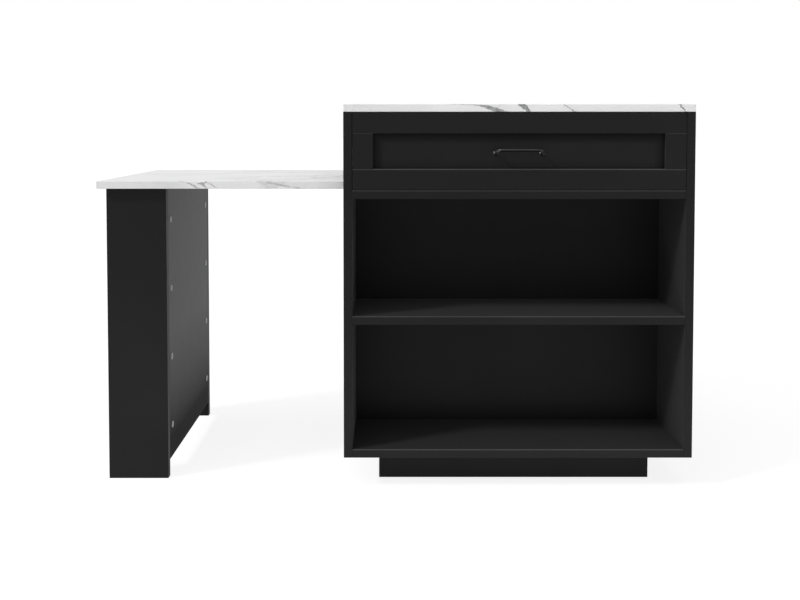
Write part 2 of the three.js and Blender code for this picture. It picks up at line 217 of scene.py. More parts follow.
# %% [markdown]
# ## Black paint
# The boards are sprayed matte black. Sprayed paint is never quite even: its tone drifts a little
# over a board, it has a very fine orange-peel surface, and its sheen changes from place to place.
# Noise on Object coordinates gives all three, so a pattern keeps its size on every board.
# The upper front edges of the shelves and the drawer get a paler coat: a painted highlight.
# The drawer's sunken panel is darker close to its frame: painted shade of the recess. The distance
# to the frame, taken from the same coordinates, fades its tone.
# The gloss of the leg's inner board fades with height towards the floor: painted shade in its
# reflection.

# %% Paint finish
PAINT_TONE = 0.0113
PAINT_ROUGHNESS = 0.5
PAINT_SPECULAR = 0.076
PAINT_SHEEN = 0.07
FRAME_SHADE_WIDTH = 24 * MM
SHADE_FADE_LOW, SHADE_FADE_HIGH = 90 * MM, 360 * MM


def new_finish(name):
    finish = bpy.data.materials.new(name)
    finish.use_nodes = True
    tree = finish.node_tree
    shader = tree.nodes["Principled BSDF"]
    place = add_node(tree, "TexCoord").outputs["Object"]
    return finish, tree, shader, place


def noise(tree, place, scale, detail=2.0, roughness=0.5):
    return add_node(
        tree, "TexNoise", Vector=place, Scale=scale, Detail=detail, Roughness=roughness
    ).outputs["Fac"]


def grey(value):
    return (value, value, value, 1)


def vary_roughness(tree, shader, patches, middle, give):
    roughness = spread(tree, patches, 0.3, 0.7, middle - give, middle + give)
    fill_input(tree, shader.inputs["Roughness"], roughness)


def add_relief(tree, shader, height, strength):
    """Unevenness of a tenth of a millimetre, too fine to be modelled."""
    bump = add_node(tree, "Bump", Strength=strength, Distance=0.1 * MM, Height=height)
    fill_input(tree, shader.inputs["Normal"], bump.outputs["Normal"])


def painted_frame_shade(tree, place, low, high):
    """Painted shade: near 0 at the sides and top of an opening, and 1 further in. Its foot isn't
    faded.
    """
    parts = add_node(tree, "SeparateXYZ", Vector=place).outputs
    left = calculate(tree, "SUBTRACT", parts["X"], low.x)
    right = calculate(tree, "SUBTRACT", high.x, parts["X"])
    above = calculate(tree, "SUBTRACT", high.z, parts["Z"])
    nearest = calculate(tree, "MINIMUM", calculate(tree, "MINIMUM", left, right), above)
    return spread(tree, nearest, 0, FRAME_SHADE_WIDTH, 0.1, 1)


def sprayed_paint(name, tone=PAINT_TONE, rough=PAINT_ROUGHNESS, opening=None, painted_low_shade=False):
    """Matte black paint. Painted shade may darken it at an `opening`'s edges, or fade its gloss low
    down.
    """
    finish, tree, shader, place = new_finish(name)
    drift = noise(tree, place, 5, detail=3)
    speckle = noise(tree, place, 420, detail=2)
    blotch = calculate(tree, "ADD", calculate(tree, "MULTIPLY", speckle, 0.35), drift)
    even = spread(tree, blotch, 0.45, 0.9, 0, 1)
    colour = blend_colours(tree, even, grey(tone * 0.88), grey(tone * 1.12))
    # Painted shade: the panel darkens towards the frame of its opening.
    if opening:
        colour = blend_colours(tree, painted_frame_shade(tree, place, *opening), grey(tone * 0.1), colour)
    fill_input(tree, shader.inputs["Base Color"], colour)
    vary_roughness(tree, shader, noise(tree, place, 22, detail=3), rough, 0.012)
    shader.inputs["Specular IOR Level"].default_value = PAINT_SPECULAR
    shader.inputs["Sheen Weight"].default_value = PAINT_SHEEN
    shader.inputs["Sheen Roughness"].default_value = 0.5
    # Painted shade in the reflection: the gloss fades towards the floor.
    if painted_low_shade:
        height = add_node(tree, "SeparateXYZ", Vector=place).outputs["Z"]
        gloss = spread(tree, height, SHADE_FADE_LOW, SHADE_FADE_HIGH, 0.008, 0.125)
        fill_input(tree, shader.inputs["Specular IOR Level"], gloss)
        fill_input(tree, shader.inputs["Sheen Weight"], gloss)
    add_relief(tree, shader, noise(tree, place, 700, detail=1), 0.12)
    return finish


# %% Five coats of paint
board_paint = sprayed_paint("black_board_paint")
drawer_paint = sprayed_paint("black_drawer_paint")
opening_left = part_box("drawer_front_left_stile")[1].x
opening_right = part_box("drawer_front_right_stile")[0].x
opening_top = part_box("drawer_front_top_rail")[0].z
opening = (Vector((opening_left, 0, 0)), Vector((opening_right, 0, opening_top)))
# Painted shade on the sunken panel, darker towards its frame.
sunken_shade_paint = sprayed_paint("sunken_panel_painted_shade", opening=opening)
# Painted shade in the leg board's reflection, which weakens towards the floor.
leg_shade_paint = sprayed_paint("leg_paint_painted_shade", painted_low_shade=True)
# A paler coat for the upper front edges: a painted highlight.
edge_highlight_paint = sprayed_paint("painted_edge_highlight_paint", tone=0.055, rough=0.42)
paints = (board_paint, drawer_paint, sunken_shade_paint, leg_shade_paint, edge_highlight_paint)
print("paints:", [paint.name for paint in paints])


# %% [markdown]
# ## Marble-look laminate
# The slabs are board faced with a white marble pattern. Real marble has a warm-white ground with
# faint clouds, a few bold grey veins that swell and break up, and hairlines that branch off them.
# A painted image would stretch at the edges, so the pattern is worked out in three dimensions: each
# vein is a bent sheet through the slab, and it shows wherever the sheet meets a face.
# A vein is a row of seven numbers: where it meets the middle of the front edge, how far it runs
# sideways for each metre of depth and of height, how far its upper edge is bent over, its half
# width there, how much wider it gets towards the top, and how dark it is.

# %% Marble finish
HALF_SLAB = 9 * MM


def vein(tree, axes, sheet):
    """Strength of one vein, from 0 beside it to its darkness in its middle."""
    start, along_depth, along_height, bend, half_width, taper, darkness = sheet
    x, depth, height, lift, wander, swell = axes
    middle = calculate(tree, "MULTIPLY_ADD", depth, along_depth, start)
    middle = calculate(tree, "MULTIPLY_ADD", height, along_height, middle)
    middle = calculate(tree, "MULTIPLY_ADD", lift, bend, middle)
    middle = calculate(tree, "ADD", middle, wander)
    away = calculate(tree, "ABSOLUTE", calculate(tree, "SUBTRACT", x, middle))
    wedge = calculate(tree, "MULTIPLY_ADD", height, taper * half_width / HALF_SLAB, half_width)
    share = calculate(tree, "DIVIDE", away, calculate(tree, "MULTIPLY", wedge, swell))
    edge = spread(tree, share, 0.7, 1.1, 1, 0)
    return calculate(tree, "MULTIPLY", edge, darkness)


def marble_laminate(name, low, high, ground_tone, broken, sheets):
    """`broken` is what is left of a vein where it breaks up: 1 keeps it whole."""
    finish, tree, shader, place = new_finish(name)
    parts = add_node(tree, "SeparateXYZ", Vector=place).outputs
    depth = calculate(tree, "SUBTRACT", parts["Y"], low.y)
    height = calculate(tree, "SUBTRACT", parts["Z"], (low.z + high.z) / 2)
    lift = calculate(tree, "DIVIDE", height, HALF_SLAB, clamp=True)
    lift = calculate(tree, "POWER", lift, 6)
    free = spread(tree, depth, 0.0, 0.12, 0.02, 1)

    broad = calculate(tree, "SUBTRACT", noise(tree, place, 4.5, detail=2), 0.5)
    ragged = calculate(tree, "SUBTRACT", noise(tree, place, 26, detail=5, roughness=0.62), 0.5)
    wander = calculate(tree, "MULTIPLY", broad, 0.34)
    wander = calculate(tree, "MULTIPLY_ADD", ragged, 0.05, wander)
    wander = calculate(tree, "MULTIPLY", wander, free)
    crumbled = calculate(tree, "SUBTRACT", noise(tree, place, 170, detail=3), 0.5)
    wander = calculate(tree, "MULTIPLY_ADD", crumbled, 0.02, wander)
    swelling = spread(tree, noise(tree, place, 9, detail=3), 0.35, 0.7, 0.1, 1.5)
    steady = calculate(tree, "MULTIPLY", calculate(tree, "SUBTRACT", swelling, 1), free)
    swell = calculate(tree, "ADD", steady, 1.1)
    axes = (parts["X"], depth, height, lift, wander, swell)

    veins = 0.0
    for sheet in sheets:
        veins = calculate(tree, "MAXIMUM", veins, vein(tree, axes, sheet))
    breaks = spread(tree, noise(tree, place, 95, detail=2), 0.40, 0.52, broken, 1)
    veins = calculate(tree, "MULTIPLY", veins, breaks)

    push = add_node(tree, "TexNoise", Vector=place, Scale=7, Detail=3).outputs["Color"]
    bent = add_node(tree, "VectorMath", {"operation": "MULTIPLY_ADD"})
    for socket, value in zip(bent.inputs, (push, (0.12, 0.12, 0.12), place)):
        fill_input(tree, socket, value)
    lines = calculate(tree, "SUBTRACT", noise(tree, bent.outputs[0], 3.1, detail=4), 0.5)
    lines = spread(tree, calculate(tree, "ABSOLUTE", lines), 0.0, 0.012, 1, 0)
    where = spread(tree, noise(tree, place, 2.3, detail=1), 0.48, 0.62, 0, 0.42)
    hairlines = calculate(tree, "MULTIPLY", lines, where)
    veins = calculate(tree, "MAXIMUM", veins, hairlines)

    clouds = spread(tree, noise(tree, bent.outputs[0], 6, detail=4), 0.35, 0.75, 0, 1)
    ground = blend_colours(tree, clouds, grey(ground_tone), grey(ground_tone - 0.09))
    flecks = spread(tree, noise(tree, place, 160, detail=4), 0.3, 0.75, 0.75, 1.15)
    strength = calculate(tree, "MULTIPLY", veins, flecks, clamp=True)
    colour = blend_colours(tree, strength, ground, (0.17, 0.172, 0.178, 1))
    fill_input(tree, shader.inputs["Base Color"], colour)

    vary_roughness(tree, shader, noise(tree, place, 45, detail=3), 0.4, 0.04)
    shader.inputs["Specular IOR Level"].default_value = 0.35
    add_relief(tree, shader, noise(tree, place, 900, detail=1), 0.05)
    return finish


# %% Marble of the worktop and of the table
worktop_veins = [
    (0.2330, 0.9, -2.7, -0.077, 0.0150, 0, 0.90),
    (0.3125, 1.1, -0.8, 0, 0.0075, 0.35, 0.95),
    (0.4165, 0.5, -1.3, 0, 0.0019, 0, 0.90),
    (0.6790, 0.4, -0.9, 0, 0.0026, 0, 0.85),
]
table_veins = [
    (-0.5980, 0.9, -2.0, -0.050, 0.0012, 0, 0.30),
    (-0.4780, 1.1, -1.7, -0.020, 0.0038, 0, 0.70),
    (-0.4530, 0.8, -1.3, 0.110, 0.0050, 0.8, 0.70),
    (-0.4320, 1.0, -1.8, 0, 0.0024, 0, 0.70),
    (-0.2660, 0.9, -5.4, 0, 0.0140, 0, 0.48),
]
worktop_marble = marble_laminate(
    "worktop_marble", *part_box("worktop"), ground_tone=0.87, broken=0.8, sheets=worktop_veins
)
table_marble = marble_laminate(
    "table_marble", *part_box("table_top"), ground_tone=0.79, broken=0.25, sheets=table_veins
)
print("marbles:", worktop_marble.name, table_marble.name)


# %% [markdown]
# ## Metals
# The drawer pull is satin black, the round cams are dull die-cast zinc and the runners are dull
# zinc-plated steel. A metal is told by its reflections, so its noise goes into the roughness more
# than into the colour. Rolled steel has fine lines along its length, made by noise that is
# stretched along Y. The pull's black is paler on its upper side and deep below, told apart by the
# surface's own normal: painted light on top and painted shade underneath. On the feet the coating
# is less metallic, and a paler tone above their middle is a painted highlight over painted shade.

# %% Metal finishes
def metal(name, tone, metallic, rough, stretch=(1, 1, 1), grain=260):
    finish, tree, shader, place = new_finish(name)
    pulled = add_node(tree, "Mapping", Vector=place, Scale=stretch).outputs["Vector"]
    fine = noise(tree, pulled, grain, detail=4)
    worn = noise(tree, place, 35, detail=3)
    shade = calculate(tree, "MULTIPLY_ADD", worn, 0.5, calculate(tree, "MULTIPLY", fine, 0.5))
    dark = tuple(channel * 0.85 for channel in tone) + (1,)
    light = tuple(channel * 1.15 for channel in tone) + (1,)
    even = spread(tree, shade, 0.35, 0.65, 0, 1)
    fill_input(tree, shader.inputs["Base Color"], blend_colours(tree, even, dark, light))
    vary_roughness(tree, shader, fine, rough, 0.06)
    shader.inputs["Metallic"].default_value = metallic
    add_relief(tree, shader, fine, 0.1)
    return finish


FOOT_START = 46 * MM


def black_metal_painted_light(name, lit_tone, shaded_tone, rough, middle, foot_middle):
    """Black metal with a painted highlight on its upper side and painted shade below.

    Its feet lie past FOOT_START to either side of `middle`, with a painted highlight above
    `foot_middle`.
    """
    finish, tree, shader, place = new_finish(name)
    parts = add_node(tree, "SeparateXYZ", Vector=place).outputs
    apart = calculate(tree, "ABSOLUTE", calculate(tree, "SUBTRACT", parts["X"], middle))
    feet = spread(tree, apart, FOOT_START, FOOT_START + 4 * MM, 0, 1)
    normal = add_node(tree, "TexCoord").outputs["Normal"]
    upwards = add_node(tree, "SeparateXYZ", Vector=normal).outputs["Z"]
    patches = noise(tree, place, 160, detail=3)
    # Painted light: paler on the upper side, with painted shade below.
    side = calculate(tree, "MULTIPLY_ADD", patches, 0.5, upwards)
    painted_lit_side = spread(tree, side, -0.25, 0.15, 0, 1)
    bar_colour = blend_colours(tree, painted_lit_side, grey(shaded_tone), grey(lit_tone))
    # Painted highlight above the middle of each foot, painted shade below it.
    painted_lit_foot = spread(tree, parts["Z"], foot_middle - 2 * MM, foot_middle, 0, 1)
    foot_colour = blend_colours(tree, painted_lit_foot, grey(shaded_tone), grey(lit_tone * 2))
    colour = blend_colours(tree, feet, bar_colour, foot_colour)
    fill_input(tree, shader.inputs["Base Color"], colour)
    fine = noise(tree, place, 900, detail=4)
    vary_roughness(tree, shader, fine, rough, 0.04)
    fill_input(tree, shader.inputs["Metallic"], spread(tree, feet, 0, 1, 1, 0.5))
    shader.inputs["Specular Tint"].default_value = grey(0.15)
    add_relief(tree, shader, fine, 0.1)
    return finish


# %% Three metals
pull_low, pull_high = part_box("drawer_pull")
black_metal = black_metal_painted_light(
    "satin_black_metal", lit_tone=0.035, shaded_tone=0.007, rough=0.25,
    middle=(pull_low.x + pull_high.x) / 2, foot_middle=pull_low.z + 6 * MM,
)
zinc = metal("die_cast_zinc", (0.42, 0.42, 0.43), 0.85, 0.45, grain=600)
steel = metal("plated_runner_steel", (0.32, 0.325, 0.335), 1.0, 0.4, stretch=(1, 0.06, 1))
print("metals:", black_metal.name, zinc.name, steel.name)


# %% [markdown]
# ## How a part is handed over
# Every new piece rides on the body that carries it, and hides the plain part it stands for.

# %% Dressing a piece
def hand_over(piece, finish, slot, body, *nodes):
    if not piece.data.materials:
        piece.data.materials.append(finish)
    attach(piece, body)
    if nodes:
        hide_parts(*nodes)
    return piece


def take_up(piece):
    """Make this piece the only selected one."""
    bpy.ops.object.select_all(action="DESELECT")
    piece.select_set(True)
    bpy.context.view_layer.objects.active = piece


def apply_modifier(piece, kind, **settings):
    take_up(piece)
    modifier = piece.modifiers.new(kind.lower(), kind)
    for name, value in settings.items():
        setattr(modifier, name, value)
    bpy.ops.object.modifier_apply(modifier=modifier.name)


def smooth(piece, angle=40):
    """Shade round edges smoothly while the broad faces stay flat."""
    take_up(piece)
    bpy.ops.object.shade_smooth_by_angle(angle=math.radians(angle))
    apply_modifier(piece, "WEIGHTED_NORMAL", keep_sharp=True, weight=100)


def fix_place(piece):
    take_up(piece)
    bpy.ops.object.transform_apply(location=True, rotation=True, scale=True)


# %% [markdown]
# ## Boards
# A board is a block whose edges are slightly rounded, because paint doesn't hold on a sharp edge
# and a sharp edge catches no light. It could be drawn edge by edge, but a block with a narrow bevel
# is quicker and just as true. Where a fitting sits in a board, a round cutter bores its hole.

# %% Blocks and drilled holes
FIT_GAP = 0.3 * MM


def add_block(name, low, high):
    bpy.ops.mesh.primitive_cube_add(size=1, location=(low + high) / 2, scale=high - low)
    piece = bpy.context.object
    piece.name = piece.data.name = name
    fix_place(piece)
    return piece


def bore(piece, start, end, radius):
    """Drill a round hole between two points on one axis."""
    line = end - start
    bpy.ops.mesh.primitive_cylinder_add(
        vertices=32,
        radius=radius,
        depth=line.length,
        location=(start + end) / 2,
        rotation=line.to_track_quat("Z", "Y").to_euler(),
    )
    drill = bpy.context.object
    fix_place(drill)
    apply_modifier(piece, "BOOLEAN", operation="DIFFERENCE", object=drill, solver="EXACT")
    bpy.data.objects.remove(drill)


def bore_for(piece, fitting, axis, radius):
    """Drill a hole that clears a fitting all round, along one of the three axes."""
    low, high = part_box(fitting)
    start = (low + high) / 2
    end = start.copy()
    start[axis] = low[axis] - FIT_GAP
    end[axis] = high[axis] + FIT_GAP
    bore(piece, start, end, radius)


# %% Choosing edges
TOUCH = 0.01 * MM


def edit(piece, mode="EDGE"):
    take_up(piece)
    bpy.ops.object.mode_set(mode="EDIT")
    bpy.ops.mesh.select_mode(type=mode)


def close_edit():
    bpy.ops.object.mode_set(mode="OBJECT")


def select_edges(piece, test):
    """In edit mode, select only the edges whose middle passes the test."""
    shape = bmesh.from_edit_mesh(piece.data)
    for part in [*shape.verts, *shape.edges, *shape.faces]:
        part.select_set(False)
    for edge in shape.edges:
        if test((edge.verts[0].co + edge.verts[1].co) / 2):
            edge.select_set(True)
    bmesh.update_edit_mesh(piece.data)


def near(first, second):
    return abs(first - second) < TOUCH


# %% Rounded boards
EDGE_RADIUS = 1.0 * MM
HIGHLIGHT_WIDTH = 1.7 * MM


def two_coats(piece, finish):
    """The first coat is for the faces, and the second is a painted highlight for chosen edges."""
    piece.data.materials.append(finish)
    piece.data.materials.append(edge_highlight_paint)


def paint_edge_highlight(piece, test, width):
    """Round the chosen edges, and give them the paler coat of a painted highlight."""
    edit(piece)
    select_edges(piece, test)
    bpy.ops.mesh.bevel(offset=width, segments=4, affect="EDGES", material=1)
    close_edit()


def rounded_board(node, radius=EDGE_RADIUS, segments=3, highlight_planes_y=()):
    """A board that fills its node's box. Its upper edge gets a painted highlight at each given Y
    plane.
    """
    low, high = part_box(node)
    piece = add_block(node + "_board", low, high)
    for y in highlight_planes_y:
        if not piece.data.materials:
            two_coats(piece, board_paint)
        paint_edge_highlight(piece, lambda p: near(p.z, high.z) and near(p.y, y), HIGHLIGHT_WIDTH)
    apply_modifier(piece, "BEVEL", width=radius, segments=segments, limit_method="ANGLE")
    return piece


# %% Plain boards
plain_boards = [
    "side_panel_right", "bottom_panel", "middle_shelf", "rear_shelf", "drawer_divider",
    "bay_back_panel", "rear_apron", "top_rail_front", "top_rail_rear",
    "plinth_front", "plinth_rear", "plinth_left", "plinth_right",
]
front_plane, rear_plane = (corner.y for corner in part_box("bottom_panel"))
for node in plain_boards:
    low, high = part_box(node)
    open_sides = ()
    if high.x - low.x > high.y - low.y > high.z - low.z:
        open_sides = [y for y in (low.y, high.y) if near(y, front_plane) or near(y, rear_plane)]
    board = rounded_board(node, highlight_planes_y=open_sides)
    smooth(board)
    hand_over(board, board_paint, "black_paint", "cabinet", node)
print("boards:", len(plain_boards))

# %% [markdown]
# ## Boards with fittings in them
# The leg and the table are knocked down for transport. A round cam in one board hooks the head of
# a bolt that is screwed into the next, so both boards are bored: a wide hole for the cam, a narrow
# one for the bolt in the edge, and one for the bolt's thread in the next board.

# %% Bored boards
BOLT_HOLE = 3.3 * MM
CAM_HOLE = 7.5 * MM

bored = {
    "side_panel_left": [("table_bolt_1", 0, BOLT_HOLE), ("table_bolt_2", 0, BOLT_HOLE)],
    "leg_front_panel": [(f"leg_bolt_{i}", 1, BOLT_HOLE) for i in range(1, 5)],
    "leg_back_panel": [(f"leg_bolt_{i}", 1, BOLT_HOLE) for i in range(5, 9)],
    "leg_middle_panel": [
        *[(f"leg_bolt_{i}", 1, BOLT_HOLE) for i in range(1, 9)],
        *[(f"leg_cam_{i}", 0, CAM_HOLE) for i in range(1, 9)],
    ],
}
for node, fittings in bored.items():
    board = rounded_board(node)
    for fitting, axis, radius in fittings:
        bore_for(board, fitting, axis, radius)
    smooth(board)
    paint = leg_shade_paint if node == "leg_middle_panel" else board_paint
    hand_over(board, paint, "black_paint", "cabinet", node)
    print(node, "holes:", len(fittings), "faces:", len(board.data.polygons))

# %% [markdown]
# ## Marble slabs
# The worktop and the table are 18 mm slabs with a small rounded nosing. They get one more bevel
# step than the boards, because the white edge shows its curve against the black carcass.

# %% Slabs
SLAB_RADIUS = 1.8 * MM

worktop = rounded_board("worktop", SLAB_RADIUS, 4)
smooth(worktop)
hand_over(worktop, worktop_marble, "marble_laminate", "cabinet", "worktop")

table = rounded_board("table_top", SLAB_RADIUS, 4)
for i in (1, 2):
    bore_for(table, f"table_bolt_{i}", 0, BOLT_HOLE)
    bore_for(table, f"table_cam_{i}", 2, CAM_HOLE)
smooth(table)
hand_over(table, table_marble, "marble_laminate", "cabinet", "table_top")
print("slabs:", worktop.name, table.name)

# %% [markdown]
# ## Drawer front
# The drawer front is a frame: two rails run right across, two stiles stand between them, and a thin
# panel sits in a groove all round. It could be one board with a routed hollow, but the joints show
# on the real one, so each member is its own piece. A member is a block whose inner front edge is
# planed off, and a plough then cuts the groove for the panel.

# %% Planed and ploughed members
FRONT_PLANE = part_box("side_panel_left")[0].y
PANEL_RECESS = 11 * MM
PANEL_BACK = 17 * MM
PANEL_EASE = 0.4 * MM
GROOVE_DEPTH = 8 * MM
PLOUGH_OVERRUN = 10 * MM
NOSE = 2.6 * MM
FRAME_EASE = 0.7 * MM

AXIS_X, AXIS_Y, AXIS_Z = Vector((1, 0, 0)), Vector((0, 1, 0)), Vector((0, 0, 1))


def combine(piece, other, operation):
    """Join a block to a piece, or cut it out of the piece, and use the block up."""
    apply_modifier(piece, "BOOLEAN", operation=operation, object=other, solver="EXACT")
    bpy.data.objects.remove(other)


def frame_member(name, low, high, inwards):
    """A rail or stile between two corners. `inwards` points at the panel.

    The lower rail's moulding and the stiles' upper ends get the paler coat of a painted highlight.
    """
    piece = add_block(name, low, high)
    two_coats(piece, drawer_paint)
    inner = max(low.dot(inwards), high.dot(inwards))
    edit(piece)
    select_edges(piece, lambda p: near(p.dot(inwards), inner) and near(p.y, low.y))
    # Coat 1 is the paler coat of a painted highlight, on the lower rail's moulding.
    coat, nose = (1, NOSE) if inwards.z > 0 else (0, NOSE / 2)
    bpy.ops.mesh.bevel(offset=nose, segments=4, affect="EDGES", material=coat)
    close_edit()
    if near(inwards.z, 0):
        paint_edge_highlight(piece, lambda p: near(p.z, high.z) and near(p.y, low.y), FRAME_EASE)
    apply_modifier(piece, "BEVEL", width=FRAME_EASE, segments=2, limit_method="ANGLE")
    along = inwards.cross(AXIS_Y)
    spare = Vector([abs(value) for value in along]) * PLOUGH_OVERRUN
    reach = Vector([abs(value) for value in inwards]) * GROOVE_DEPTH
    centre = (low + high) / 2
    mouth = centre + inwards * (inner - centre.dot(inwards))
    half_length = Vector([abs(a) * s / 2 for a, s in zip(along, high - low)]) + spare
    groove_low = mouth - reach - half_length
    groove_high = mouth + reach + half_length
    groove_low.y = FRONT_PLANE + PANEL_RECESS
    groove_high.y = FRONT_PLANE + PANEL_BACK
    combine(piece, add_block("plough", groove_low, groove_high), "DIFFERENCE")
    return piece


# %% Rails, stiles and panel
members = []
rails = {"drawer_front_bottom_rail": AXIS_Z, "drawer_front_top_rail": -AXIS_Z}
for node, inwards in rails.items():
    members.append((frame_member(node + "_moulded", *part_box(node), inwards), node))

stile_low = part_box("drawer_front_bottom_rail")[1].z
stile_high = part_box("drawer_front_top_rail")[0].z
stiles = {"drawer_front_left_stile": AXIS_X, "drawer_front_right_stile": -AXIS_X}
for node, inwards in stiles.items():
    low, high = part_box(node)
    low.z, high.z = stile_low, stile_high
    stile = frame_member(node + "_moulded", low, high, inwards)
    tongue_low, tongue_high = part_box(node)
    tongue_low.y, tongue_high.y = FRONT_PLANE + PANEL_RECESS, FRONT_PLANE + PANEL_BACK
    if inwards.x > 0:
        tongue_high.x -= GROOVE_DEPTH
    else:
        tongue_low.x += GROOVE_DEPTH
    tongue_low.z, tongue_high.z = stile_low - GROOVE_DEPTH, stile_high + GROOVE_DEPTH
    combine(stile, add_block("tongue", tongue_low, tongue_high), "UNION")
    members.append((stile, node))

panel = rounded_board("drawer_front_panel", PANEL_EASE, 2)
panel.data.materials.append(sunken_shade_paint)
members.append((panel, "drawer_front_panel"))
for piece, node in members:
    smooth(piece)
    hand_over(piece, drawer_paint, "drawer_paint", "drawer", node)
print("drawer front:", [piece.name for piece, _ in members])

# %% [markdown]
# ## Drawer pull
# The pull is one bent rod with a flared foot at each end. It could be a curve with a round bevel,
# but then the feet would have to be joined on. Instead half of it is drawn as one skin: a ring is
# extruded along the bar, spun round the elbow, run down the leg and opened out into the foot.
# A mirror makes the other half.

# %% Rings that grow into rods
def add_ring(name, centre, direction, radius, sides=28):
    """An open ring, square to `direction`, ready to be extruded."""
    bpy.ops.mesh.primitive_circle_add(
        vertices=sides,
        radius=radius,
        location=centre,
        rotation=direction.to_track_quat("Z", "Y").to_euler(),
    )
    piece = bpy.context.object
    piece.name = piece.data.name = name
    bpy.ops.object.transform_apply(location=False, rotation=True, scale=True)
    bpy.ops.object.mode_set(mode="EDIT")
    bpy.ops.mesh.select_mode(type="VERT")
    bpy.ops.mesh.select_all(action="SELECT")
    return piece


def ring_centre(piece):
    shape = bmesh.from_edit_mesh(piece.data)
    chosen = [vert.co for vert in shape.verts if vert.select]
    return piece.matrix_world @ (sum(chosen, Vector()) / len(chosen))


def grow(piece, step, factor=1.0):
    """Extrude the selected ring by `step`, then widen it by `factor`."""
    bpy.ops.mesh.extrude_region_move(TRANSFORM_OT_translate={"value": step})
    if factor != 1.0:
        bpy.ops.transform.resize(value=(factor,) * 3, center_override=ring_centre(piece))


def turn_profile(piece, direction, profile):
    """Grow the selected ring through rows of (distance, radius), from the first row's ring."""
    reached, radius = profile[0]
    for distance, next_radius in profile[1:]:
        grow(piece, direction * (distance - reached), next_radius / radius)
        reached, radius = distance, next_radius


def seal(piece):
    bpy.ops.mesh.select_all(action="SELECT")
    bpy.ops.mesh.normals_make_consistent(inside=False)
    close_edit()


# %% Half of the pull
PULL_CENTRES = 108 * MM
PULL_REACH = 30 * MM
PULL_RISE = 9 * MM
PULL_RADIUS = 3.5 * MM
ELBOW = 15 * MM
FOOT_RADIUS = 6.5 * MM
FOOT_HEIGHT = 6 * MM

low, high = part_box("drawer_pull")
panel_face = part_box("drawer_front_panel")[0].y
bar_middle = Vector(((low.x + high.x) / 2, panel_face - PULL_REACH, 0))
foot = Vector((bar_middle.x + PULL_CENTRES / 2, panel_face, low.z + FOOT_RADIUS))
bar_middle.z = foot.z + PULL_RISE
foot_top = foot - AXIS_Y * FOOT_HEIGHT
corner = Vector((foot.x, bar_middle.y, bar_middle.z))
leg = foot_top - corner
down_leg = leg.normalized()

pull = add_ring("drawer_bow_pull", bar_middle, AXIS_X, PULL_RADIUS)
for _ in range(3):
    grow(pull, AXIS_X * (PULL_CENTRES / 2 - ELBOW) / 3)
elbow_centre = corner - AXIS_X * ELBOW + down_leg * ELBOW
bpy.ops.mesh.spin(
    steps=9, angle=math.radians(90), center=elbow_centre, axis=down_leg.cross(AXIS_X)
)
grow(pull, down_leg * (leg.length - ELBOW))
bpy.ops.transform.resize(value=(1, 0, 1), center_override=ring_centre(pull))
flare = [
    (0, 3.5), (2.4, 3.5), (3.5, 3.75), (4.1, 4.3), (4.6, 5.3), (5.1, 6.2), (5.4, 6.5), (6, 6.5)
]
turn_profile(pull, AXIS_Y, [(distance * MM, radius * MM) for distance, radius in flare])
bpy.ops.mesh.edge_face_add()
seal(pull)
apply_modifier(pull, "MIRROR", use_axis=(True, False, False), merge_threshold=1e-5)
fix_place(pull)
edit(pull)
seal(pull)
take_up(pull)
bpy.ops.object.shade_smooth_by_angle(angle=math.radians(50))
hand_over(pull, black_metal, "black_metal", "drawer", "drawer_pull")
print("pull:", [round(value / MM, 1) for value in pull.dimensions], "cad:",
      [round(value / MM, 1) for value in high - low])

# %% [markdown]
# ## Cams and bolts
# A cam is a die-cast barrel with a thin rim that hides its hole, and a cross recess and a small
# arrow for the screwdriver. One is modelled for the leg and a shallower one for the table, each
# lying on its side with its face at the origin. Copies are turned so that their claws face bolts.

# %% Cam
CAM_RADIUS = 7.2 * MM
RIM_RADIUS = 8.0 * MM
RIM_HEIGHT = 1.25 * MM
CAM_DEPTH = {"leg": 13.5 * MM, "table": 12.5 * MM}
BOLT_DEPTH = {"leg": 10 * MM, "table": 9 * MM}
ARROW_PLACE = (0.7 * MM, 5.2 * MM, 0)
CLAW_BACK, CLAW_MOUTH = 2.3 * MM, 9 * MM


def place_copy(model, name, centre, out, along):
    """A copy with its own mesh, its face at `centre`, looking `out` and reaching `along`."""
    turn = Matrix((out, along, out.cross(along))).transposed().to_4x4()
    piece = bpy.data.objects.new(name, model.data.copy())
    piece.data.name = name
    piece.data.transform(Matrix.Translation(centre) @ turn)
    bpy.context.scene.collection.objects.link(piece)
    return piece


def turned_solid(name, start, direction, profile, sides):
    """A closed solid turned round a line, from rows of (distance, radius)."""
    solid = add_ring(name, start, direction, profile[0][1], sides)
    bpy.ops.mesh.edge_face_add()
    bpy.ops.mesh.select_mode(type="FACE")
    turn_profile(solid, direction, profile)
    seal(solid)
    fix_place(solid)
    return solid


def cut_cross(piece, floor, top, half_length, half_width):
    """Sink a screwdriver's cross along X, from `top` down to `floor`. Sizes are in mm."""
    for half_y, half_z in ((half_length, half_width), (half_width, half_length)):
        low = Vector((floor, -half_y, -half_z)) * MM
        high = Vector((top, half_y, half_z)) * MM
        combine(piece, add_block("screwdriver", low, high), "DIFFERENCE")


